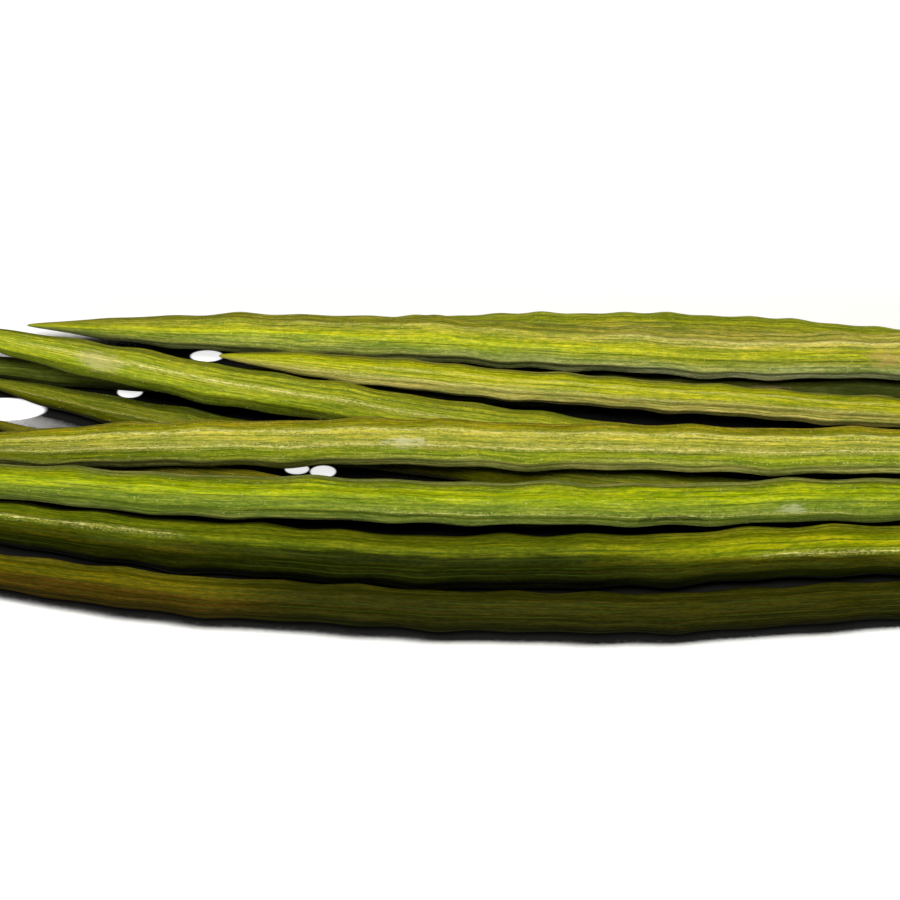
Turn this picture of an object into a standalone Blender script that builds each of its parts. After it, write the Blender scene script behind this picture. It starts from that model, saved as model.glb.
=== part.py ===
"""A loose bunch of moringa pods, the long ribbed pods sold as drumsticks, lying in a low heap.

Each pod is one solid, grown in one piece: a tapering beak at one end, a row of seeds that swell
its skin, three blunt corners with nine ribs between them, and at the other end a neck and a short
cut stalk. The pods lie roughly along X with their beaks towards -X. They are laid one by one, as
a hand would drop them, and each slides sideways into the nearest hollow between those below it.

Sizes here are in millimetres and become metres where a mesh is made. The origin is on the ground
under the middle of the heap, with +Z up.
"""

import math
from dataclasses import dataclass

import bmesh
import bpy
import numpy as np
from mathutils import Matrix

MM = 0.001

# How a pod grows
RIBS = 9
BEAK_BLUNT = 8.0
BEAK_RISE = 1.3
NECK_REACH = 24.0
STALK_RADIUS = 1.9
STALK_LENGTH = 13.0
COLLAR_SWELL = 0.9
COLLAR_WIDTH = 3.0
STALK_FADE = 45.0
CORNER_HEIGHT = 0.035
RIB_DEPTH = 0.10
RIB_SHARPNESS = 0.75
SEED_SWELL = 0.27
SEED_LEAN = 0.4
SEED_WIDTH = 0.33
FIRST_SEED = 30.0
LAST_SEED_TO_CUT = 44.0
SEED_TURN = math.radians(120)

# How the heap lies
CROSSINGS = (-160.0, -53.0, 53.0, 160.0)
GAP = 0.4
SINK = 0.7
PRESSED = 1.0
CONTACT_ROUNDS = 3
STATIONS = 121
SAG_CHOICES = (-4.0, -2.0, 0.0, 2.0, 4.0)
SLIDES = (2.0, 1.0, 0.5, 0.25)
SLIDE_LIMIT = 1.5
SWAY_LENGTH = 230.0


@dataclass
class Pod:
    """One pod. Its spine crosses each line x = CROSSINGS at the y in cross."""

    name: str
    skin: str
    length: float
    thickness: float
    tip_x: float
    cross: tuple
    seeds: int
    roll: float = 0.0
    twist: float = 0.0
    beak: float = 40.0
    sway: float = 0.8
    left_shift: float = 0.0
    right_shift: float = 0.0
    rise: tuple = (0.0, 0.0, 0.0)


# In the order they were laid: the lowest first, then those that lie on them
PODS = [
    Pod("pod_01", "olive", 340, 14.0, -90, (57, 64.5, 65, 59), 18, roll=0, twist=4),
    Pod("pod_02", "olive", 455, 12.4, -205, (48.5, 40.2, 36.5, 35), 14, roll=40, twist=-4),
    Pod("pod_03", "green", 430, 12.6, -180, (39, 13, -4, -10), 14, roll=80, twist=5, beak=35),
    Pod("pod_04", "olive", 275, 12.6, -176, (22, -7, -16, -17), 9, roll=0, twist=-5),
    Pod("pod_05", "green", 475, 20.0, -240, (-22.2, -36.4, -38.4, -34.2), 15, roll=15, twist=-20, beak=62),
    Pod("pod_06", "olive", 455, 15.0, -225, (-38.2, -53.6, -56.6, -51), 15, roll=0, twist=4),
    Pod("pod_07", "bright", 440, 18.0, -157, (62.8, 53.6, 45.3, 42), 16, roll=70, twist=15, beak=52),
    Pod("pod_08", "bright", 440, 16.0, -190, (47.4, 26, 11.2, 7), 16, roll=100, twist=20, beak=38),
    Pod("pod_09", "bright", 360, 12.2, -84, (50, 40, 28.8, 22), 16, roll=25, twist=-25, beak=28),
    Pod("pod_10", "green", 465, 16.4, -218, (-14, -21.5, -21, -19), 15, roll=50, twist=18, beak=50),
    Pod("pod_11", "scurfy", 475, 17.8, -203, (6, 4, 1.4, -2.6), 15, roll=10, twist=-12, beak=43),
]

SKINS = {
    "bright": (0.42, 0.50, 0.10, 1.0),
    "green": (0.27, 0.40, 0.10, 1.0),
    "olive": (0.24, 0.28, 0.07, 1.0),
    "scurfy": (0.40, 0.43, 0.16, 1.0),
}


def girth(pod, s):
    """Plain radius of the pod, without ribs or seeds, s mm from the tip of its beak."""
    beak = 1 - np.exp(-(((s + BEAK_BLUNT) / pod.beak) ** BEAK_RISE))
    neck = 1 - np.exp(-np.maximum(pod.length - STALK_LENGTH - s, 0) / NECK_REACH)
    body = pod.thickness / 2 * beak * neck / (1 + SEED_SWELL * (1 - SEED_LEAN))
    near_stalk = np.clip((s - pod.length + STALK_FADE) / STALK_FADE, 0, 1)
    to_collar = (s - pod.length + STALK_LENGTH) / COLLAR_WIDTH
    stalk = STALK_RADIUS + COLLAR_SWELL * np.exp(-(to_collar**2))
    return np.hypot(body, stalk * near_stalk)


def fullness(pod, s):
    """How far ribs and seeds show: 1 along the body, down to 0 at the stalk."""
    return np.clip((pod.length - STALK_LENGTH - s) / STALK_FADE, 0, 1)


def rib_turn(pod, s, angle):
    """Angle round the pod counted from its first rib, which winds slowly along it."""
    return angle - math.radians(pod.roll) - math.radians(pod.twist) * s / pod.length


def seed_places(pod):
    """Distance of each seed from the tip of the beak."""
    return np.linspace(FIRST_SEED, pod.length - LAST_SEED_TO_CUT, pod.seeds)


def swelling(pod, s, angle):
    """How far the seeds push the skin out, as a share of the girth. Each leans to its own corner."""
    places = seed_places(pod)
    width = SEED_WIDTH * (places[1] - places[0])
    total = np.zeros(np.broadcast(s, angle).shape)
    for number, place in enumerate(places):
        lean = np.cos(angle - math.radians(pod.roll) - number * SEED_TURN)
        total += np.exp(-(((s - place) / width) ** 2)) * (1 - SEED_LEAN + SEED_LEAN * lean)
    return SEED_SWELL * total


def crest_radius(pod, s, angle):
    """Distance from the spine to a skin stretched over the ribs. The angle is from straight up."""
    corners = CORNER_HEIGHT * np.cos(3 * rib_turn(pod, s, angle))
    return girth(pod, s) * (1 + fullness(pod, s) * (corners + swelling(pod, s, angle)))


def skin_radius(pod, s, angle):
    """Distance from the spine to the skin, down in the grooves between the ribs."""
    groove = (0.5 - 0.5 * np.cos(RIBS * rib_turn(pod, s, angle))) ** RIB_SHARPNESS
    return crest_radius(pod, s, angle) - girth(pod, s) * fullness(pod, s) * RIB_DEPTH * groove


def plan(pod, s):
    """x and y of the spine, seen from above. Past the outer crossings it runs on straight."""
    curve = np.polyfit(CROSSINGS, pod.cross, 3)
    heading = math.atan((pod.cross[-1] - pod.cross[0]) / (CROSSINGS[-1] - CROSSINGS[0]))
    x = pod.tip_x + s * math.cos(heading)
    inside = np.clip(x, CROSSINGS[0], CROSSINGS[-1])
    y = np.polyval(curve, inside) + np.polyval(np.polyder(curve), inside) * (x - inside)
    along = s / pod.length
    shift = pod.left_shift * (1 - along) + pod.right_shift * along
    sway = pod.sway * np.sin(2 * math.pi * (s + 7 * pod.thickness) / SWAY_LENGTH)
    return x, y + shift + sway


def height(pod, s):
    """z of the spine: a straight pod, tilted, with a little sag."""
    level, tilt, sag = pod.rise
    along = 2 * s / pod.length - 1
    return level + tilt * along + sag * along**2


def resting_line(along, need, balance):
    """Level and tilt of the lowest straight pod above need, whose weight acts at balance."""
    left = along <= balance
    a, b = along[left][:, None], along[~left][None, :]
    need_a, need_b = need[left][:, None], need[~left][None, :]
    at_balance = (need_a * (b - balance) + need_b * (balance - a)) / (b - a)
    i, j = np.unravel_index(np.argmax(at_balance), at_balance.shape)
    tilt = (need_b[0, j] - need_a[i, 0]) / (b[0, j] - a[i, 0])
    return at_balance[i, j] - tilt * balance, tilt


def height_over(pod, s, x, y, lower):
    """Height at which the pod would touch one that was laid before it, or -inf beside it."""
    other, other_s, other_x, other_y, other_z = lower
    there = np.interp(x, other_x, other_s)
    aside = np.interp(x, other_x, other_y) - y
    rise = np.full_like(x, pod.thickness)
    for _ in range(CONTACT_ROUNDS):
        own = crest_radius(pod, s, np.arctan2(-aside, -rise))
        reach = own + crest_radius(other, there, np.arctan2(aside, rise)) + GAP
        rise = np.sqrt(np.maximum(reach**2 - aside**2, 0))
    beside = (x < other_x[0] - GAP) | (x > other_x[-1] + GAP) | (np.abs(aside) >= reach)
    return np.where(beside, -np.inf, np.interp(x, other_x, other_z) + rise)


def settle(pod, laid):
    """Drops the pod where it now lies in plan. Returns its mean height and sets its rise."""
    s = np.linspace(0, pod.length, STATIONS)
    along = 2 * s / pod.length - 1
    x, y = plan(pod, s)
    need = crest_radius(pod, s, math.pi) - SINK
    for lower in laid:
        need = np.maximum(need, height_over(pod, s, x, y, lower))
    weight = girth(pod, s) ** 2
    weight /= weight.sum()
    balance = float((along * weight).sum())
    best = None
    for sag in SAG_CHOICES:
        level, tilt = resting_line(along, need - sag * along**2, balance)
        mean = level + tilt * balance + sag * float((along**2 * weight).sum())
        if best is None or mean < best:
            best = mean
            pod.rise = (level, tilt, sag)
    return best, (pod, s, x, y, height(pod, s))


def lay(pod, laid):
    """Lets the pod slide sideways, one end or both, for as long as that brings it lower."""
    lowest, shape = settle(pod, laid)
    for step in SLIDES:
        moved = True
        while moved:
            moved = False
            for left, right in ((1, 1), (-1, -1), (1, 0), (-1, 0), (0, 1), (0, -1)):
                kept = (pod.left_shift, pod.right_shift, pod.rise)
                pod.left_shift += left * step
                pod.right_shift += right * step
                found, new_shape = settle(pod, laid)
                within = max(abs(pod.left_shift), abs(pod.right_shift)) <= SLIDE_LIMIT
                if within and found < lowest - 0.002:
                    lowest, shape, moved = found, new_shape, True
                else:
                    pod.left_shift, pod.right_shift, pod.rise = kept
    laid.append(shape)


def spine(pod, s):
    """Points of the spine and, at each, the directions along, across and up."""
    x, y = plan(pod, s)
    points = np.stack([x, y, height(pod, s)], axis=-1)
    step = 0.5
    x2, y2 = plan(pod, s + step)
    ahead = np.stack([x2, y2, height(pod, s + step)], axis=-1) - points
    ahead /= np.linalg.norm(ahead, axis=-1, keepdims=True)
    across = np.cross(ahead, (0.0, 0.0, 1.0))
    across /= np.linalg.norm(across, axis=-1, keepdims=True)
    return points, across, np.cross(across, ahead)


def ring_places(pod):
    """Where the rings of the mesh stand: on the beak, on and between the seeds, on the stalk."""
    places = seed_places(pod)
    between = (places[1:] + places[:-1]) / 2
    beak = (1.0, 11.0, 23.0)
    stalk = (pod.length - 26, pod.length - STALK_LENGTH, pod.length - 8, pod.length)
    return np.sort(np.concatenate([beak, places, between, stalk]))


def pod_mesh(pod):
    """A closed skin over the rings, with a pointed beak and a flat cut across the stalk."""
    s = ring_places(pod)
    angles = np.arange(2 * RIBS) * math.pi / RIBS
    start = math.radians(pod.roll) + math.radians(pod.twist) * s / pod.length
    angles = start[:, None] + angles[None, :]
    radius = skin_radius(pod, s[:, None], angles)
    points, across, up = spine(pod, s)
    outward = np.cos(angles)[..., None] * up[:, None] + np.sin(angles)[..., None] * across[:, None]
    skin = points[:, None] + radius[..., None] * outward
    skin[..., 2] = np.where(skin[..., 2] < PRESSED, 0, skin[..., 2])
    tip = spine(pod, np.array([0.0]))[0][0]
    cut = spine(pod, np.array([float(pod.length)]))[0][0]

    mesh = bmesh.new()
    rings = [[mesh.verts.new(point * MM) for point in ring] for ring in skin]
    ends = (mesh.verts.new(tip * MM), mesh.verts.new(cut * MM))
    sides = 2 * RIBS
    for near, far in zip(rings, rings[1:]):
        for k in range(sides):
            mesh.faces.new((near[k], near[(k + 1) % sides], far[(k + 1) % sides], far[k]))
    for end, ring in zip(ends, (rings[0], rings[-1])):
        for k in range(sides):
            mesh.faces.new((end, ring[k], ring[(k + 1) % sides]))
    bmesh.ops.triangulate(mesh, faces=mesh.faces)
    bmesh.ops.recalc_face_normals(mesh, faces=mesh.faces)
    data = bpy.data.meshes.new(pod.name)
    mesh.to_mesh(data)
    mesh.free()
    return data


def skin_material(name):
    """Waxy green skin in one of the shades that the pods ripen through."""
    material = bpy.data.materials.new("skin_" + name)
    material.use_nodes = True
    shader = material.node_tree.nodes["Principled BSDF"]
    shader.inputs["Base Color"].default_value = SKINS[name]
    shader.inputs["Roughness"].default_value = 0.45
    shader.inputs["Metallic"].default_value = 0.0
    return material


def centre(bodies):
    """Moves the heap until the origin is on the ground under the middle of its box."""
    corners = np.array([vertex.co for body in bodies for vertex in body.data.vertices])
    middle = (corners.min(axis=0) + corners.max(axis=0)) / 2
    for body in bodies:
        body.data.transform(Matrix.Translation((-middle[0], -middle[1], 0)))


def build():
    for old in list(bpy.data.objects):
        bpy.data.objects.remove(old)
    materials = {name: skin_material(name) for name in SKINS}
    laid = []
    for pod in PODS:
        lay(pod, laid)
    bodies = []
    for pod in PODS:
        body = bpy.data.objects.new(pod.name, pod_mesh(pod))
        body.data.materials.append(materials[pod.skin])
        body.data.shade_smooth()
        bpy.context.scene.collection.objects.link(body)
        bodies.append(body)
    centre(bodies)


build()
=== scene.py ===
"""The looks of the bunch of moringa pods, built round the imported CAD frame.

Lengths are in metres. Every pod lies roughly along X, its beak towards -X and its cut stalk towards
+X. The photo looks at the heap from the front, 55 degrees above the ground.
"""

import math

import bpy
import numpy as np
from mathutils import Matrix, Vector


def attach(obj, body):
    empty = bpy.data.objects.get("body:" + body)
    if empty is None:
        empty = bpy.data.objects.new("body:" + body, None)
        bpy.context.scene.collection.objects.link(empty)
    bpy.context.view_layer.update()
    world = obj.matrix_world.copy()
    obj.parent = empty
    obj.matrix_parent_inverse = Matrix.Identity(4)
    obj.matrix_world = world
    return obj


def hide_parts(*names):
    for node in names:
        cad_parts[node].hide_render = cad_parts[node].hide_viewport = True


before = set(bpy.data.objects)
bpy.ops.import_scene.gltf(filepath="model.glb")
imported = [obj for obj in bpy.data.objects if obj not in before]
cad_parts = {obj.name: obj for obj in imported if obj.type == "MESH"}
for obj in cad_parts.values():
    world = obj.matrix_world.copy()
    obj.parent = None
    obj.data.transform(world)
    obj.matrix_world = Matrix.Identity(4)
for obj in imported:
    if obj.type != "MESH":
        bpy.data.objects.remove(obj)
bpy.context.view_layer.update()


# How a pod's skin is grown over its CAD solid
# The CAD solid gives each pod its spine, its girth, its seeds and its nine ribs, in a few flat
# sides. The skin here is a fine mesh over the same form: the ribs rounded and grooved, finer
# ridges between them, small lumps, a drawn-out beak and a cut stalk with a fibrous end.

STEP = 0.0011
AROUND = 72
VIEW_SIDE = math.radians(35)
RIBS = 9
TURNS = np.arange(AROUND + 1) / AROUND
ANGLES = 2 * math.pi * (TURNS - 0.5) + VIEW_SIDE


def sections(node):
    """Cuts the CAD pod at even steps of x. Returns x, the spine's y and z, and a radius per angle."""
    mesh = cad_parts[node].data
    mesh.calc_loop_triangles()
    points = np.array([vertex.co for vertex in mesh.vertices])
    corners = np.array([triangle.vertices for triangle in mesh.loop_triangles])
    ends = np.concatenate([corners[:, [0, 1]], corners[:, [1, 2]], corners[:, [2, 0]]])
    start, end = points[ends[:, 0]], points[ends[:, 1]]
    low, high = points[:, 0].min(), points[:, 0].max()
    x = np.linspace(low + 0.0007, high - 0.0007, int((high - low) / STEP))

    loops = []
    for place in x:
        crossing = (start[:, 0] < place) != (end[:, 0] < place)
        a, b = start[crossing], end[crossing]
        share = (place - a[:, 0]) / (b[:, 0] - a[:, 0])
        loops.append(a[:, 1:] + share[:, None] * (b[:, 1:] - a[:, 1:]))
    middle = np.array([(loop.min(axis=0) + loop.max(axis=0)) / 2 for loop in loops])
    middle = np.stack([soften(middle[:, 0], 12), soften(middle[:, 1], 12)], axis=-1)

    radius = np.empty((len(x), AROUND))
    for row, (loop, centre) in enumerate(zip(loops, middle)):
        aside, up = (loop - centre).T
        angle = np.arctan2(-aside, up)
        order = np.argsort(angle)
        reach = np.hypot(aside, up)
        radius[row] = np.interp(ANGLES[:-1], angle[order], reach[order], period=2 * math.pi)
    return x, middle, radius


def soften(values, width):
    """Evens out a row of values over about this many steps, keeping its ends in place."""
    reach = int(3 * width)
    kernel = np.exp(-((np.arange(-reach, reach + 1) / width) ** 2))
    kernel /= kernel.sum()
    before = 2 * values[0] - values[reach:0:-1]
    after = 2 * values[-1] - values[-2 : -reach - 2 : -1]
    return np.convolve(np.concatenate([before, values, after]), kernel, "valid")


def wander(count, width, random):
    """A slow random walk between about -1 and 1."""
    raw = random.standard_normal(count + 8 * width)
    kernel = np.exp(-((np.arange(-3 * width, 3 * width + 1) / width) ** 2))
    smooth = np.convolve(raw, kernel / np.sqrt((kernel**2).sum()), "same")
    return smooth[4 * width : 4 * width + count]


def relief(radius, random):
    """The rounded form, and over it the ribs, the finer ridges and small lumps."""
    waves = np.fft.rfft(radius, axis=1) / AROUND
    form = np.zeros_like(waves)
    for order in range(5):
        for part in (np.real, np.imag):
            unit = 1 if part is np.real else 1j
            form[:, order] += unit * soften(part(waves[:, order]), 3)
    body = np.fft.irfft(form * AROUND, n=AROUND, axis=1)

    rib = waves[:, RIBS]
    strength = soften(2 * np.abs(rib), 8)
    lead = soften(np.unwrap(np.angle(rib)), 15)
    turned = RIBS * (ANGLES - ANGLES[0]) + lead[:, None]
    ridge = turned[:, :-1]
    ridge_number = turned / (2 * math.pi)

    count = len(radius)
    unequal = 1 + 0.35 * np.array([wander(count, 60, random) for _ in range(RIBS)])
    before = np.floor(ridge_number[:, :-1]).astype(int)
    nearer = ridge_number[:, :-1] - before
    nearer = nearer**2 * (3 - 2 * nearer)
    share = (1 - nearer) * np.take_along_axis(unequal.T, before % RIBS, axis=1)
    share += nearer * np.take_along_axis(unequal.T, (before + 1) % RIBS, axis=1)
    groove = (0.5 - 0.5 * np.cos(ridge)) ** 0.8
    ribs = strength[:, None] * (1.15 - 2.3 * share * groove)
    finer = 0.00007 * np.cos(3 * ridge) * (1 + 0.5 * share)
    lumps = sum(
        np.cos(order * ANGLES[None, :-1] + 3 * wander(count, 40, random)[:, None])
        * wander(count, 9, random)[:, None]
        for order in (2, 3, 5)
    )
    fade = np.clip(body.mean(axis=1) / 0.004 - 0.7, 0, 1)[:, None]
    return body + fade * (ribs + finer + 0.00006 * lumps), ridge_number


def grow(node, seed):
    """Builds the pod's fine skin in place of the CAD node, with what its shader reads."""
    random = np.random.default_rng(seed)
    x, middle, radius = sections(node)
    radius, ridge_number = relief(radius, random)

    tip = np.array([0.25, 0.62, 0.88])[:, None]
    cut = np.array([0.97, 0.6, 0.22])[:, None]
    radius = np.concatenate([radius[:1] * tip, radius, radius[-1:] * cut])
    ahead = np.array([-0.0011, -0.0008, -0.0004])
    behind = np.array([0.00015, 0.0000, -0.0003])
    x = np.concatenate([x[0] + ahead, x, x[-1] + behind])
    middle = np.concatenate([middle[:1]] * 3 + [middle] + [middle[-1:]] * 3)
    ridge_number = np.concatenate([ridge_number[:1]] * 3 + [ridge_number] + [ridge_number[-1:]] * 3)

    angles = ANGLES[:-1]
    points = np.empty((len(x), AROUND, 3))
    points[..., 0] = x[:, None]
    points[..., 1] = middle[:, :1] - radius * np.sin(angles)
    points[..., 2] = middle[:, 1:] + radius * np.cos(angles)
    points[..., 2] = np.maximum(points[..., 2], 0.0)
    rows, ring = np.mgrid[0 : len(x) - 1, 0:AROUND]
    beside = (ring + 1) % AROUND
    near, far = rows * AROUND, (rows + 1) * AROUND
    faces = np.stack([near + ring, near + beside, far + beside, far + ring], axis=-1).reshape(-1, 4)
    caps = [list(range(AROUND))[::-1], list(range((len(x) - 1) * AROUND, len(x) * AROUND))]

    mesh = bpy.data.meshes.new(node + "_skin")
    mesh.from_pydata(points.reshape(-1, 3).tolist(), [], faces.tolist() + caps)
    mesh.shade_smooth()

    # Where each corner lies: u along the pod, v round it from 0 to 1, and the rib it is on
    across = mesh.uv_layers.new(name="around")
    ribs = mesh.uv_layers.new(name="ribs")
    corner_rows = np.stack([rows, rows, rows + 1, rows + 1], axis=-1)
    corner_ring = np.stack([ring, ring + 1, ring + 1, ring], axis=-1)
    along = x[corner_rows] * 10
    spare = np.zeros((2 * AROUND, 2))
    around_values = np.stack([along, TURNS[corner_ring]], axis=-1).reshape(-1, 2)
    ribs_values = np.stack([along, ridge_number[corner_rows, corner_ring]], axis=-1).reshape(-1, 2)
    across.data.foreach_set("uv", np.concatenate([around_values, spare]).astype(np.float32).ravel())
    ribs.data.foreach_set("uv", np.concatenate([ribs_values, spare]).astype(np.float32).ravel())

    # The same place on a round pod 8 mm thick, unrolled from the bends, for grain with no seam
    straight = np.empty((len(x), AROUND, 3))
    straight[..., 0] = x[:, None] * 1000
    straight[..., 1] = 8 * np.sin(angles)
    straight[..., 2] = 8 * np.cos(angles)
    grain = mesh.attributes.new("grain", "FLOAT_VECTOR", "POINT")
    grain.data.foreach_set("vector", straight.astype(np.float32).ravel())
    cut_end = np.zeros((len(x), AROUND))
    cut_end[-2:] = 1
    cut_mark = mesh.attributes.new("cut", "FLOAT", "POINT")
    cut_mark.data.foreach_set("value", cut_end.astype(np.float32).ravel())

    pod = bpy.data.objects.new(node + "_skin", mesh)
    bpy.context.scene.collection.objects.link(pod)
    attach(pod, "root")
    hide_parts(node)
    return pod


# The skin's markings
# Moringa skin is a waxy green with fine streaks that run along the pod, dashed lines of cream
# scurf on some ribs, dark lines beside them, pale specks, and a grey bloom in patches.


def add(tree, kind, sockets=None, **settings):
    """A shader node with its settings, its socket values, and links where a value is a socket."""
    node = tree.nodes.new(kind)
    for name, value in settings.items():
        setattr(node, name, value)
    for name, value in (sockets or {}).items():
        if isinstance(value, bpy.types.NodeSocket):
            tree.links.new(value, node.inputs[name])
        else:
            node.inputs[name].default_value = value
    return node


def calc(tree, operation, *values):
    node = add(tree, "ShaderNodeMath", dict(enumerate(values)), operation=operation)
    return node.outputs[0]


def limits(tree, value, low, high):
    """0 where the value is at or below low, 1 at or above high, smooth between."""
    node = add(
        tree,
        "ShaderNodeMapRange",
        {"Value": value, "From Min": low, "From Max": high},
        interpolation_type="SMOOTHSTEP",
    )
    return node.outputs[0]


def blend(tree, share, under, over, mode="MIX"):
    node = add(tree, "ShaderNodeMix", data_type="RGBA", blend_type=mode)
    for socket, value in ((0, share), (6, under), (7, over)):
        if isinstance(value, bpy.types.NodeSocket):
            tree.links.new(value, node.inputs[socket])
        else:
            node.inputs[socket].default_value = value
    return node.outputs[2]


def stretched(tree, vector, along, around, offset=0.0):
    """The grain vector scaled along the pod and round it, so that noise on it runs lengthwise."""
    node = add(
        tree,
        "ShaderNodeMapping",
        {"Vector": vector, "Scale": (along, around, around), "Location": (offset, 0.3 * offset, 0)},
    )
    return node.outputs[0]


def noise(tree, vector, detail=2.0, roughness=0.5):
    node = add(
        tree,
        "ShaderNodeTexNoise",
        {"Vector": vector, "Scale": 1.0, "Detail": detail, "Roughness": roughness},
    )
    return node.outputs["Fac"]


def new_group(name, inputs, outputs):
    """An empty node group with named inputs and outputs."""
    group = bpy.data.node_groups.new(name, "ShaderNodeTree")
    for socket, kind, value in inputs:
        made = group.interface.new_socket(socket, in_out="INPUT", socket_type="NodeSocket" + kind)
        if value is not None:
            made.default_value = value
    for socket, kind in outputs:
        group.interface.new_socket(socket, in_out="OUTPUT", socket_type="NodeSocket" + kind)
    return group, group.nodes.new("NodeGroupInput").outputs, group.nodes.new("NodeGroupOutput").inputs


# Streaks along the pod, 0 to 1: thin ones, broad ones, short mottling, and their height
streaks, given, made = new_group(
    "streaks",
    [("Grain", "Vector", None)],
    [("Thin", "Float"), ("Broad", "Float"), ("Mottle", "Float"), ("Height", "Float")],
)
thin = noise(streaks, stretched(streaks, given["Grain"], 0.07, 1.7), 4.0, 0.65)
broad = noise(streaks, stretched(streaks, given["Grain"], 0.045, 0.9, 7.0), 3.0, 0.6)
mottle = noise(streaks, stretched(streaks, given["Grain"], 0.36, 1.7, 3.0), 5.0, 0.75)
streaks.links.new(limits(streaks, thin, 0.3, 0.7), made["Thin"])
streaks.links.new(limits(streaks, broad, 0.36, 0.64), made["Broad"])
streaks.links.new(limits(streaks, mottle, 0.36, 0.64), made["Mottle"])
height = calc(streaks, "ADD", calc(streaks, "MULTIPLY", thin, 0.6), calc(streaks, "MULTIPLY", mottle, 0.4))
streaks.links.new(height, made["Height"])

# A dashed line of cream scurf on one rib, from one x to another
scurf_line, given, made = new_group(
    "scurf_line",
    [
        ("Grain", "Vector", None),
        ("Along", "Float", 0.0),
        ("Rib", "Float", 0.0),
        ("On Rib", "Float", 0.0),
        ("From", "Float", 0.0),
        ("To", "Float", 0.0),
        ("Width", "Float", 0.1),
    ],
    [("Mask", "Float")],
)
sway = noise(scurf_line, stretched(scurf_line, given["Grain"], 0.04, 0.0, 11.0))
sway = calc(scurf_line, "SUBTRACT", sway, 0.5)
place = calc(scurf_line, "ADD", given["On Rib"], calc(scurf_line, "MULTIPLY", sway, 0.3))
away = calc(scurf_line, "ABSOLUTE", calc(scurf_line, "SUBTRACT", given["Rib"], place))
dashes = noise(scurf_line, stretched(scurf_line, given["Grain"], 0.35, 3.0, 5.0), 5.0, 0.8)
thick = calc(scurf_line, "MULTIPLY", given["Width"], limits(scurf_line, dashes, 0.46, 0.62))
spread = calc(scurf_line, "DIVIDE", away, calc(scurf_line, "ADD", thick, 0.001))
on_line = calc(scurf_line, "SUBTRACT", 1.0, limits(scurf_line, spread, 0.5, 1.0))
begun = limits(scurf_line, calc(scurf_line, "SUBTRACT", given["Along"], given["From"]), 0.0, 0.15)
ended = limits(scurf_line, calc(scurf_line, "SUBTRACT", given["To"], given["Along"]), 0.0, 0.15)
within = calc(scurf_line, "MULTIPLY", begun, ended)
flecks = noise(scurf_line, stretched(scurf_line, given["Grain"], 0.9, 2.2, 31.0), 4.0, 0.8)
wider = calc(scurf_line, "DIVIDE", away, calc(scurf_line, "MULTIPLY", given["Width"], 3.2))
beside_line = calc(scurf_line, "SUBTRACT", 1.0, limits(scurf_line, wider, 0.2, 1.0))
beside_line = calc(scurf_line, "MULTIPLY", beside_line, limits(scurf_line, flecks, 0.5, 0.62))
scurfy_rib = calc(scurf_line, "MAXIMUM", on_line, calc(scurf_line, "MULTIPLY", beside_line, 0.6))
scurf_line.links.new(calc(scurf_line, "MULTIPLY", scurfy_rib, within), made["Mask"])

# Small specks, longer than wide, on a share of the skin, most of them on the ribs
specks, given, made = new_group(
    "specks",
    [("Grain", "Vector", None), ("Rib", "Float", 0.0), ("Share", "Float", 0.1)],
    [("Mask", "Float")],
)
cells = add(
    specks,
    "ShaderNodeTexVoronoi",
    {"Vector": stretched(specks, given["Grain"], 0.75, 2.2, 2.0), "Scale": 1.0, "Randomness": 1.0},
)
picked = add(specks, "ShaderNodeSeparateColor", {"Color": cells.outputs["Color"]})
crest = calc(specks, "ABSOLUTE", calc(specks, "SUBTRACT", calc(specks, "FRACT", given["Rib"]), 0.5))
on_ribs = calc(specks, "ADD", 0.2, calc(specks, "MULTIPLY", crest, 3.2))
share = calc(specks, "MULTIPLY", given["Share"], on_ribs)
chosen = calc(specks, "LESS_THAN", picked.outputs[0], share)
size = calc(specks, "ADD", 0.12, calc(specks, "MULTIPLY", picked.outputs[1], 0.22))
from_middle = calc(specks, "DIVIDE", cells.outputs["Distance"], size)
dot = calc(specks, "SUBTRACT", 1.0, limits(specks, from_middle, 0.6, 1.1))
specks.links.new(calc(specks, "MULTIPLY", dot, chosen), made["Mask"])

# A soft patch at a place on the skin, ragged along the streaks
patch, given, made = new_group(
    "patch",
    [
        ("Grain", "Vector", None),
        ("Along", "Float", 0.0),
        ("Around", "Float", 0.0),
        ("At Along", "Float", 0.0),
        ("At Around", "Float", 0.5),
        ("Length", "Float", 0.1),
        ("Width", "Float", 0.05),
    ],
    [("Mask", "Float")],
)
squares = []
for place, middle, half in (("Along", "At Along", "Length"), ("Around", "At Around", "Width")):
    away = calc(patch, "SUBTRACT", given[place], given[middle])
    away = calc(patch, "DIVIDE", away, given[half])
    squares.append(calc(patch, "MULTIPLY", away, away))
ragged = noise(patch, stretched(patch, given["Grain"], 0.25, 1.2, 9.0), 4.0, 0.7)
ragged = calc(patch, "MULTIPLY", calc(patch, "SUBTRACT", ragged, 0.5), 5.0)
reach = calc(patch, "ADD", calc(patch, "ADD", *squares), ragged)
patch.links.new(calc(patch, "SUBTRACT", 1.0, limits(patch, reach, 0.0, 1.2)), made["Mask"])

CREAM = (0.62, 0.56, 0.20, 1)
BLOOM = (0.22, 0.26, 0.09, 1)
DARK_LINE = (0.03, 0.05, 0.004, 1)


def turn_at(across):
    """The turn round a pod of a place t from its top edge in the photo, -1, to its lower edge, 1."""
    return 0.5 + math.asin(across) / (2 * math.pi)


def rib_near(pod, place, across):
    """The number of the rib nearest to a place on the skin, x in millimetres and t across."""
    layers = {}
    for name in ("around", "ribs"):
        values = np.empty(2 * len(pod.data.loops), np.float32)
        pod.data.uv_layers[name].data.foreach_get("uv", values)
        layers[name] = values.reshape(-1, 2)
    away = np.abs(layers["around"] - (place / 100, turn_at(across))).sum(axis=1)
    return round(float(layers["ribs"][away.argmin(), 1]))


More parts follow.
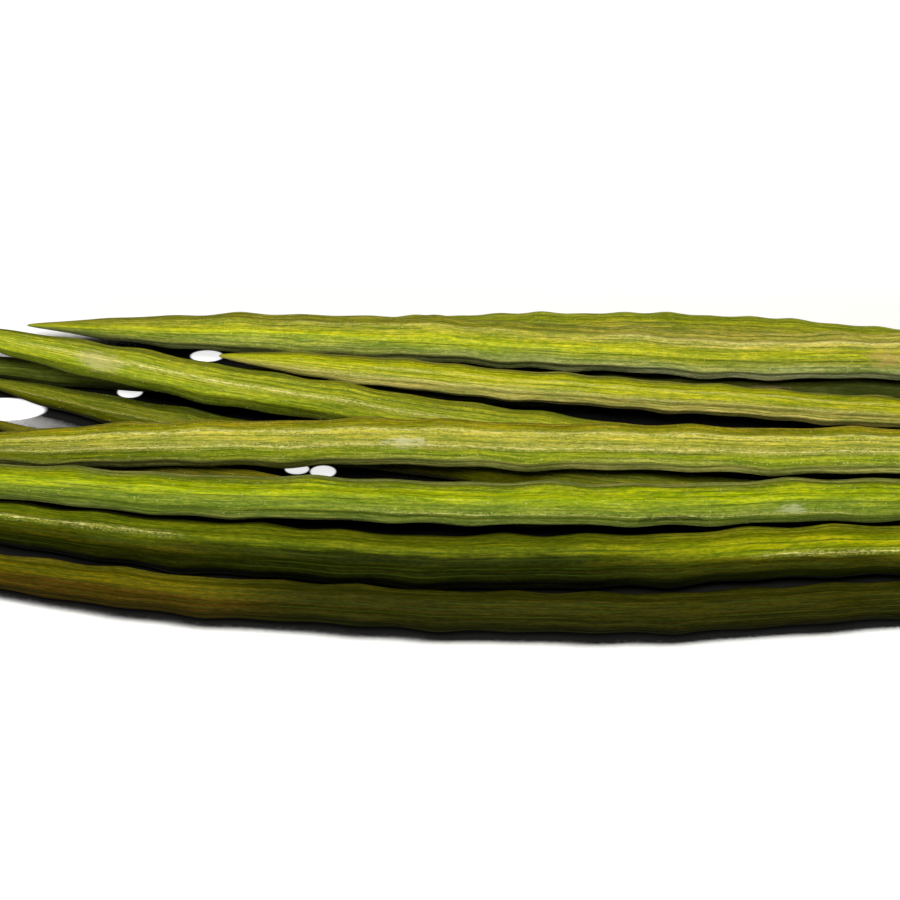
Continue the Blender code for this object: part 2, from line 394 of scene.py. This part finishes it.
def banded(tree, edge, bands):
    """Bands of colour round the pod, from (t, colour) pairs."""
    ramp = add(tree, "ShaderNodeValToRGB", {"Fac": edge})
    stops = [(turn_at(across), colour) for across, colour in bands]
    stops = [(0.06, stops[-1][1])] + stops + [(0.94, stops[-1][1])]
    while len(ramp.color_ramp.elements) < len(stops):
        ramp.color_ramp.elements.new(0.5)
    for element, (place, colour) in zip(ramp.color_ramp.elements, stops):
        element.position = place
        element.color = (*colour, 1)
    return ramp.outputs["Color"]


def skin(
    pod,
    bands,
    changes=(),
    scurf=(),
    patches=(),
    speck_share=0.12,
    bloom=0.15,
    shine=0.03,
    shift=0.0,
):
    """The pod's material. bands lists (t, colour). changes lists (from x, to x, bands), where the
    skin turns from the bands before to these. scurf lists (x, t, from x, to x, width, strength)
    for the rib at x, t. patches lists (x, t, length, width, colour, strength). x and lengths are in
    millimetres. bloom and shine are strengths, and shift moves the grain to a place of its own.
    Most band colours given further down were measured from the photo and then adjusted."""
    material = bpy.data.materials.new(pod.name)
    material.use_nodes = True
    tree = material.node_tree
    principled = tree.nodes["Principled BSDF"]
    grain = add(tree, "ShaderNodeAttribute", attribute_name="grain").outputs["Vector"]
    grain = stretched(tree, grain, 1.0, 1.0, 40 * shift)
    around = add(tree, "ShaderNodeUVMap", uv_map="around").outputs[0]
    along, turn = add(tree, "ShaderNodeSeparateXYZ", {0: around}).outputs[:2]
    ribs = add(tree, "ShaderNodeUVMap", uv_map="ribs").outputs[0]
    rib = add(tree, "ShaderNodeSeparateXYZ", {0: ribs}).outputs[1]
    lines = add(tree, "ShaderNodeGroup", {"Grain": grain}, node_tree=streaks)

    # Bands of colour round the pod, their edges drawn out along it
    drift = noise(tree, stretched(tree, grain, 0.03, 0.25, 4.0), 4.0, 0.65)
    drift = calc(tree, "MULTIPLY", calc(tree, "SUBTRACT", drift, 0.5), 0.16)
    edge = calc(tree, "ADD", turn, drift)
    colour = banded(tree, edge, bands)
    for begin, end, later in changes:
        changed = limits(tree, along, begin / 100, end / 100)
        colour = blend(tree, changed, colour, banded(tree, edge, later))

    # Streaks lighten and darken the bands, and thin dark lines lie beside the ribs
    for name, darker, lighter in (
        ("Thin", (0.74, 0.78, 0.6, 1), (1.2, 1.15, 1.1, 1)),
        ("Broad", (0.68, 0.76, 0.55, 1), (1.26, 1.16, 1.0, 1)),
        ("Mottle", (0.64, 0.72, 0.54, 1), (1.34, 1.24, 1.25, 1)),
    ):
        under = blend(tree, 1.0, colour, darker, "MULTIPLY")
        over = blend(tree, 1.0, colour, lighter, "MULTIPLY")
        colour = blend(tree, lines.outputs[name], under, over)
    for side, strength, offset in ((0.22, 0.8, 15.0), (0.78, 0.6, 27.0)):
        beside = calc(tree, "FRACT", calc(tree, "ADD", rib, side))
        beside = calc(tree, "ABSOLUTE", calc(tree, "SUBTRACT", beside, 0.5))
        line = calc(tree, "SUBTRACT", 1.0, limits(tree, beside, 0.0, 0.06))
        broken = noise(tree, stretched(tree, grain, 0.04, 0.7, offset), 4.0, 0.65)
        broken = calc(tree, "MULTIPLY", limits(tree, broken, 0.4, 0.54), strength)
        line = calc(tree, "MULTIPLY", line, broken)
        colour = blend(tree, line, colour, DARK_LINE)

    # A grey waxy bloom in patches
    waxy = noise(tree, stretched(tree, grain, 0.1, 0.5, 21.0), 5.0, 0.7)
    waxy = calc(tree, "MULTIPLY", limits(tree, waxy, 0.48, 0.72), bloom)
    colour = blend(tree, waxy, colour, BLOOM)
    for place, across, length, width, tone, strength in patches:
        spot = add(
            tree,
            "ShaderNodeGroup",
            {
                "Grain": grain,
                "Along": along,
                "Around": turn,
                "At Along": place / 100,
                "At Around": turn_at(across),
                "Length": length / 100,
                "Width": width / 50,
            },
            node_tree=patch,
        )
        colour = blend(tree, calc(tree, "MULTIPLY", spot.outputs["Mask"], strength), colour, (*tone, 1))

    # Specks, and scurf on the ribs
    sockets = {"Grain": grain, "Rib": rib, "Share": speck_share}
    dots = add(tree, "ShaderNodeGroup", sockets, node_tree=specks)
    rough = calc(tree, "MULTIPLY", dots.outputs["Mask"], 0.6)
    colour = blend(tree, rough, colour, CREAM)
    for place, across, begin, end, width, strength in scurf:
        marked = add(
            tree,
            "ShaderNodeGroup",
            {
                "Grain": grain,
                "Along": along,
                "Rib": rib,
                "On Rib": rib_near(pod, place, across),
                "From": begin / 100,
                "To": end / 100,
                "Width": width,
            },
            node_tree=scurf_line,
        )
        mask = calc(tree, "MULTIPLY", marked.outputs["Mask"], strength)
        colour = blend(tree, mask, colour, CREAM)
        rough = calc(tree, "MAXIMUM", rough, mask)

    # The cut end is pale pith
    cut = add(tree, "ShaderNodeAttribute", attribute_name="cut").outputs["Fac"]
    colour = blend(tree, cut, colour, (0.5, 0.46, 0.22, 1))

    height = calc(tree, "ADD", lines.outputs["Height"], calc(tree, "MULTIPLY", rough, 0.5))
    bump = add(tree, "ShaderNodeBump", {"Height": height, "Strength": 0.5, "Distance": 0.0004})
    tree.links.new(bump.outputs[0], principled.inputs["Normal"])
    tree.links.new(colour, principled.inputs["Base Color"])
    roughness = calc(tree, "ADD", 0.45, calc(tree, "MULTIPLY", rough, 0.3))
    tree.links.new(roughness, principled.inputs["Roughness"])
    principled.inputs["Specular IOR Level"].default_value = shine
    pod.data.materials.append(material)


# The lowest pods
# Six pods lie on the ground. Those at the back and in the middle show only in the gaps between the
# pods above them, dark green to olive.

back_pod = grow("pod_01", 1)
skin(
    back_pod,
    [
        (-0.9, (0.30, 0.34, 0.04)),
        (-0.5, (0.22, 0.25, 0.01)),
        (-0.2, (0.28, 0.28, 0.03)),
        (0.2, (0.16, 0.17, 0.01)),
        (0.9, (0.05, 0.05, 0.005)),
    ],
    scurf=[(80, -0.2, -40, 240, 0.1, 0.8)],
    shift=1.0,
)

under_pod = grow("pod_02", 2)
skin(
    under_pod,
    [(-0.9, (0.05, 0.06, 0.01)), (0.0, (0.10, 0.13, 0.02)), (0.9, (0.06, 0.08, 0.015))],
    changes=[
        (
            -110,
            -60,
            [(-0.9, (0.04, 0.05, 0.01)), (0.0, (0.035, 0.045, 0.006)), (0.9, (0.02, 0.025, 0.003))],
        )
    ],
    patches=[(95, -0.2, 9, 5, (0.16, 0.10, 0.06), 0.8)],
    speck_share=0.0,
    shift=2.0,
)

left_pod = grow("pod_03", 3)
skin(
    left_pod,
    [
        (-0.9, (0.05, 0.06, 0.003)),
        (-0.6, (0.12, 0.14, 0.01)),
        (-0.1, (0.15, 0.17, 0.01)),
        (0.4, (0.10, 0.11, 0.002)),
        (0.9, (0.05, 0.05, 0.002)),
    ],
    scurf=[(-120, 0.0, -190, -60, 0.08, 0.5)],
    shift=3.0,
)

short_pod = grow("pod_04", 4)
skin(
    short_pod,
    [(-0.9, (0.16, 0.15, 0.01)), (0.0, (0.12, 0.11, 0.01)), (0.9, (0.04, 0.04, 0.003))],
    shift=4.0,
)

# Painted shade: this pod's lower half is near black all along, and its middle is darker all round.
front_pod = grow("pod_05", 5)
FRONT_PAINTED_SHADE = [
    (-0.9, (0.07, 0.08, 0.003)),
    (-0.6, (0.10, 0.12, 0.004)),
    (-0.35, (0.09, 0.11, 0.005)),
    (-0.1, (0.015, 0.02, 0.001)),
    (0.9, (0.006, 0.008, 0.001)),
]
skin(
    front_pod,
    [
        (-0.9, (0.09, 0.11, 0.004)),
        (-0.5, (0.12, 0.15, 0.006)),
        (-0.2, (0.045, 0.06, 0.002)),
        (0.1, (0.035, 0.035, 0.001)),
        (0.4, (0.015, 0.018, 0.001)),
        (0.9, (0.01, 0.012, 0.001)),
    ],
    changes=[
        (-130, -60, FRONT_PAINTED_SHADE),
        (
            10,
            90,
            [
                (-0.9, (0.15, 0.16, 0.01)),
                (-0.6, (0.17, 0.19, 0.003)),
                (-0.35, (0.23, 0.25, 0.003)),
                (-0.1, (0.15, 0.19, 0.005)),
                (0.15, (0.09, 0.10, 0.004)),
                (0.4, (0.03, 0.03, 0.002)),
                (0.9, (0.012, 0.018, 0.001)),
            ],
        ),
    ],
    scurf=[(-145, -0.3, -190, -110, 0.12, 0.8), (110, 0.2, 80, 150, 0.1, 0.8)],
    speck_share=0.0,
    bloom=0.0,
    shine=0.01,
    shift=5.0,
)

# Painted shade: from x = -120 mm to -70 mm this pod turns near black, and stays so towards +x.
edge_pod = grow("pod_06", 6)
skin(
    edge_pod,
    [
        (-0.9, (0.10, 0.09, 0.008)),
        (-0.6, (0.09, 0.08, 0.002)),
        (-0.2, (0.08, 0.07, 0.002)),
        (0.2, (0.05, 0.03, 0.003)),
        (0.9, (0.03, 0.02, 0.003)),
    ],
    changes=[
        (
            -120,
            -70,
            [(-0.9, (0.03, 0.03, 0.003)), (-0.3, (0.025, 0.025, 0.002)), (0.9, (0.01, 0.01, 0.002))],
        )
    ],
    speck_share=0.0,
    bloom=0.0,
    shine=0.01,
    shift=6.0,
)


# The upper pods
# Five brighter pods lie on the others: two along the back, one that crosses them down to the
# middle, one along the front, and a scurfy one on top of the heap.

# Painted reflection: the pale stops at this pod's lower edge, t 0.9, stand for a sheen there.
top_pod = grow("pod_07", 7)
skin(
    top_pod,
    [
        (-0.9, (0.24, 0.24, 0.025)),
        (-0.6, (0.26, 0.27, 0.03)),
        (-0.35, (0.28, 0.30, 0.02)),
        (-0.1, (0.38, 0.42, 0.015)),
        (0.15, (0.28, 0.34, 0.03)),
        (0.4, (0.20, 0.25, 0.05)),
        (0.65, (0.20, 0.24, 0.08)),
        (0.9, (0.24, 0.28, 0.14)),
    ],
    changes=[
        (
            -20,
            80,
            [
                (-0.9, (0.33, 0.31, 0.06)),
                (-0.6, (0.41, 0.37, 0.10)),
                (-0.35, (0.25, 0.26, 0.03)),
                (-0.1, (0.31, 0.34, 0.015)),
                (0.15, (0.27, 0.30, 0.02)),
                (0.4, (0.22, 0.25, 0.04)),
                (0.65, (0.26, 0.29, 0.12)),
                (0.9, (0.36, 0.40, 0.28)),
            ],
        )
    ],
    scurf=[(100, -0.5, 30, 250, 0.13, 0.9), (-40, -0.6, -90, 10, 0.09, 0.6)],
    patches=[(137, 0.1, 8, 4, (0.36, 0.24, 0.08), 0.6)],
    speck_share=0.25,
    shift=7.0,
)

crossing_pod = grow("pod_08", 8)
skin(
    crossing_pod,
    [
        (-0.9, (0.22, 0.24, 0.02)),
        (-0.6, (0.25, 0.28, 0.015)),
        (-0.3, (0.28, 0.33, 0.03)),
        (0.1, (0.29, 0.33, 0.03)),
        (0.4, (0.24, 0.30, 0.013)),
        (0.65, (0.15, 0.19, 0.011)),
        (0.95, (0.07, 0.09, 0.01)),
    ],
    scurf=[(-120, 0.1, -180, -20, 0.12, 0.9), (-80, -0.4, -140, 20, 0.09, 0.8)],
    patches=[(-148, 0.0, 9, 6, (0.40, 0.36, 0.15), 0.6)],
    speck_share=0.2,
    shift=8.0,
)

# Painted reflection: the paling towards this pod's lower edge, t 0.55 to 0.9, stands for a sheen.
thin_pod = grow("pod_09", 9)
skin(
    thin_pod,
    [
        (-0.9, (0.16, 0.17, 0.015)),
        (-0.6, (0.32, 0.34, 0.006)),
        (-0.3, (0.37, 0.39, 0.012)),
        (0.0, (0.34, 0.36, 0.02)),
        (0.3, (0.36, 0.37, 0.07)),
        (0.55, (0.46, 0.44, 0.13)),
        (0.9, (0.60, 0.54, 0.22)),
    ],
    scurf=[(0, 0.3, -90, 150, 0.16, 0.9), (20, -0.1, -60, 150, 0.1, 0.7)],
    speck_share=0.35,
    shift=9.0,
)

# Painted reflection: the pale stops at the very top and lower edges, t -0.97 and 0.95, are a sheen.
green_pod = grow("pod_10", 10)
skin(
    green_pod,
    [
        (-0.97, (0.22, 0.24, 0.08)),
        (-0.85, (0.13, 0.16, 0.008)),
        (-0.55, (0.25, 0.31, 0.002)),
        (-0.3, (0.25, 0.32, 0.006)),
        (0.0, (0.15, 0.20, 0.015)),
        (0.3, (0.13, 0.18, 0.02)),
        (0.65, (0.09, 0.13, 0.02)),
        (0.95, (0.13, 0.16, 0.05)),
    ],
    scurf=[(0, 0.2, -60, 130, 0.08, 0.5)],
    patches=[(98, 0.3, 6, 2, (0.34, 0.36, 0.18), 0.6), (55, 0.6, 14, 2, (0.02, 0.03, 0.005), 0.8)],
    shift=10.0,
)

# Painted reflection: the pale stop at this pod's lower edge, t 0.92, stands for a sheen there.
scurfy_pod = grow("pod_11", 11)
skin(
    scurfy_pod,
    [
        (-0.92, (0.22, 0.19, 0.008)),
        (-0.6, (0.27, 0.29, 0.01)),
        (-0.35, (0.31, 0.30, 0.04)),
        (-0.1, (0.24, 0.25, 0.035)),
        (0.15, (0.21, 0.22, 0.04)),
        (0.4, (0.21, 0.26, 0.015)),
        (0.65, (0.15, 0.19, 0.01)),
        (0.92, (0.30, 0.32, 0.11)),
    ],
    scurf=[(0, -0.35, -190, 250, 0.16, 0.8), (0, 0.25, -190, 250, 0.14, 0.7)],
    patches=[(-37, 0.1, 8, 2.5, (0.44, 0.43, 0.24), 0.6)],
    speck_share=0.5,
    shift=11.0,
)


# Floor, light and camera
# A floor under a soft lamp high in front and a weak one low in front, seen from the front. It is
# pale, with painted shade nearly black where pods stand close, and dimmer for the light that
# bounces off it. Five oval patches among the pods are painted light: pale, glowing for the camera.

FLOOR_DROP = 0.0003
GAP_REACH = 0.06
PAINTED_GAP_SHADE = (0.01, 0.01, 0.01, 1)
OPEN_TONE = (0.92, 0.92, 0.92, 1)
BOUNCE_TONE = (0.2, 0.2, 0.2, 1)
PAINTED_LIGHT_GLOW = 0.8

# Each painted light patch: its place along and across the heap, its half length and its half width
PAINTED_LIGHT_PATCHES = (
    (-0.1121, 0.0548, 0.0061, 0.0026),
    (-0.1397, 0.0381, 0.0046, 0.0026),
    (-0.1855, 0.0302, 0.015, 0.005),
    (-0.0766, 0.0034, 0.0043, 0.0022),
    (-0.0671, 0.0023, 0.0046, 0.0026),
)

bpy.ops.mesh.primitive_plane_add(size=8, location=(0, 0, -FLOOR_DROP))
floor = bpy.context.object
floor.name = "floor"
floor_material = bpy.data.materials.new("floor")
floor_material.use_nodes = True
paper = floor_material.node_tree.nodes["Principled BSDF"]
floor_tree = floor_material.node_tree
seen = add(floor_tree, "ShaderNodeLightPath").outputs["Is Camera Ray"]
# Painted shade: where ambient occlusion finds pods close by, the floor is painted nearly black.
gaps = add(floor_tree, "ShaderNodeAmbientOcclusion", {"Distance": GAP_REACH}, samples=16)
pale_share = limits(floor_tree, gaps.outputs["AO"], 0.56, 0.66)
painted_light_mask = 0.0
position = add(floor_tree, "ShaderNodeNewGeometry").outputs["Position"]
spot = add(floor_tree, "ShaderNodeSeparateXYZ", {0: position}).outputs
for x, y, half_length, half_width in PAINTED_LIGHT_PATCHES:
    squares = []
    for at, centre, half in ((spot[0], x, half_length), (spot[1], y, half_width)):
        offset = calc(floor_tree, "SUBTRACT", at, centre)
        share = calc(floor_tree, "DIVIDE", offset, half)
        squares.append(calc(floor_tree, "POWER", share, 2.0))
    outside = limits(floor_tree, calc(floor_tree, "ADD", *squares), 0.8, 1.2)
    inside = calc(floor_tree, "SUBTRACT", 1.0, outside)
    painted_light_mask = calc(floor_tree, "MAXIMUM", painted_light_mask, inside)
pale_share = calc(floor_tree, "MAXIMUM", pale_share, painted_light_mask)
# Painted light: inside the patches the floor glows for the camera, though no lamp is there.
painted_glow = calc(floor_tree, "MULTIPLY", calc(floor_tree, "MULTIPLY", painted_light_mask, seen), PAINTED_LIGHT_GLOW)
floor_tree.links.new(painted_glow, paper.inputs["Emission Strength"])
paper.inputs["Emission Color"].default_value = (1, 1, 1, 1)
pale = blend(floor_tree, pale_share, PAINTED_GAP_SHADE, OPEN_TONE)
floor_tree.links.new(blend(floor_tree, seen, BOUNCE_TONE, pale), paper.inputs["Base Color"])
paper.inputs["Roughness"].default_value = 0.8
paper.inputs["Specular IOR Level"].default_value = 0.0
floor.data.materials.append(floor_material)


def soft_light(name, place, aim, size, power, tint):
    """A square lamp that faces a point."""
    lamp = bpy.data.lights.new(name, "AREA")
    lamp.size = size
    lamp.energy = power
    lamp.color = tint
    holder = bpy.data.objects.new(name, lamp)
    holder.location = place
    toward = Vector(aim) - Vector(place)
    holder.rotation_euler = toward.to_track_quat("-Z", "Y").to_euler()
    bpy.context.scene.collection.objects.link(holder)


soft_light("key", (-0.2, -0.52, 1.94), (0, 0, 0), 0.8, 49, (1.0, 0.98, 0.94))
soft_light("fill", (0.2, -1.8, 0.7), (0, 0, 0), 1.2, 26, (1.0, 1.0, 0.97))

world = bpy.data.worlds.new("studio")
world.use_nodes = True
world.node_tree.nodes["Background"].inputs["Color"].default_value = (1, 1, 1, 1)
world.node_tree.nodes["Background"].inputs["Strength"].default_value = 0.06
bpy.context.scene.world = world
bpy.context.scene.view_settings.view_transform = "Standard"

TARGET = (-0.0211, 0.001, 0.0152)
DISTANCE = 0.9
ELEVATION = math.radians(55)
camera_data = bpy.data.cameras.new("camera")
camera_data.lens = 100.8
camera = bpy.data.objects.new("camera", camera_data)
camera.location = (
    TARGET[0],
    TARGET[1] - DISTANCE * math.cos(ELEVATION),
    TARGET[2] + DISTANCE * math.sin(ELEVATION),
)
camera.rotation_euler = (math.radians(90) - ELEVATION, 0, 0)
bpy.context.scene.collection.objects.link(camera)
bpy.context.scene.camera = camera
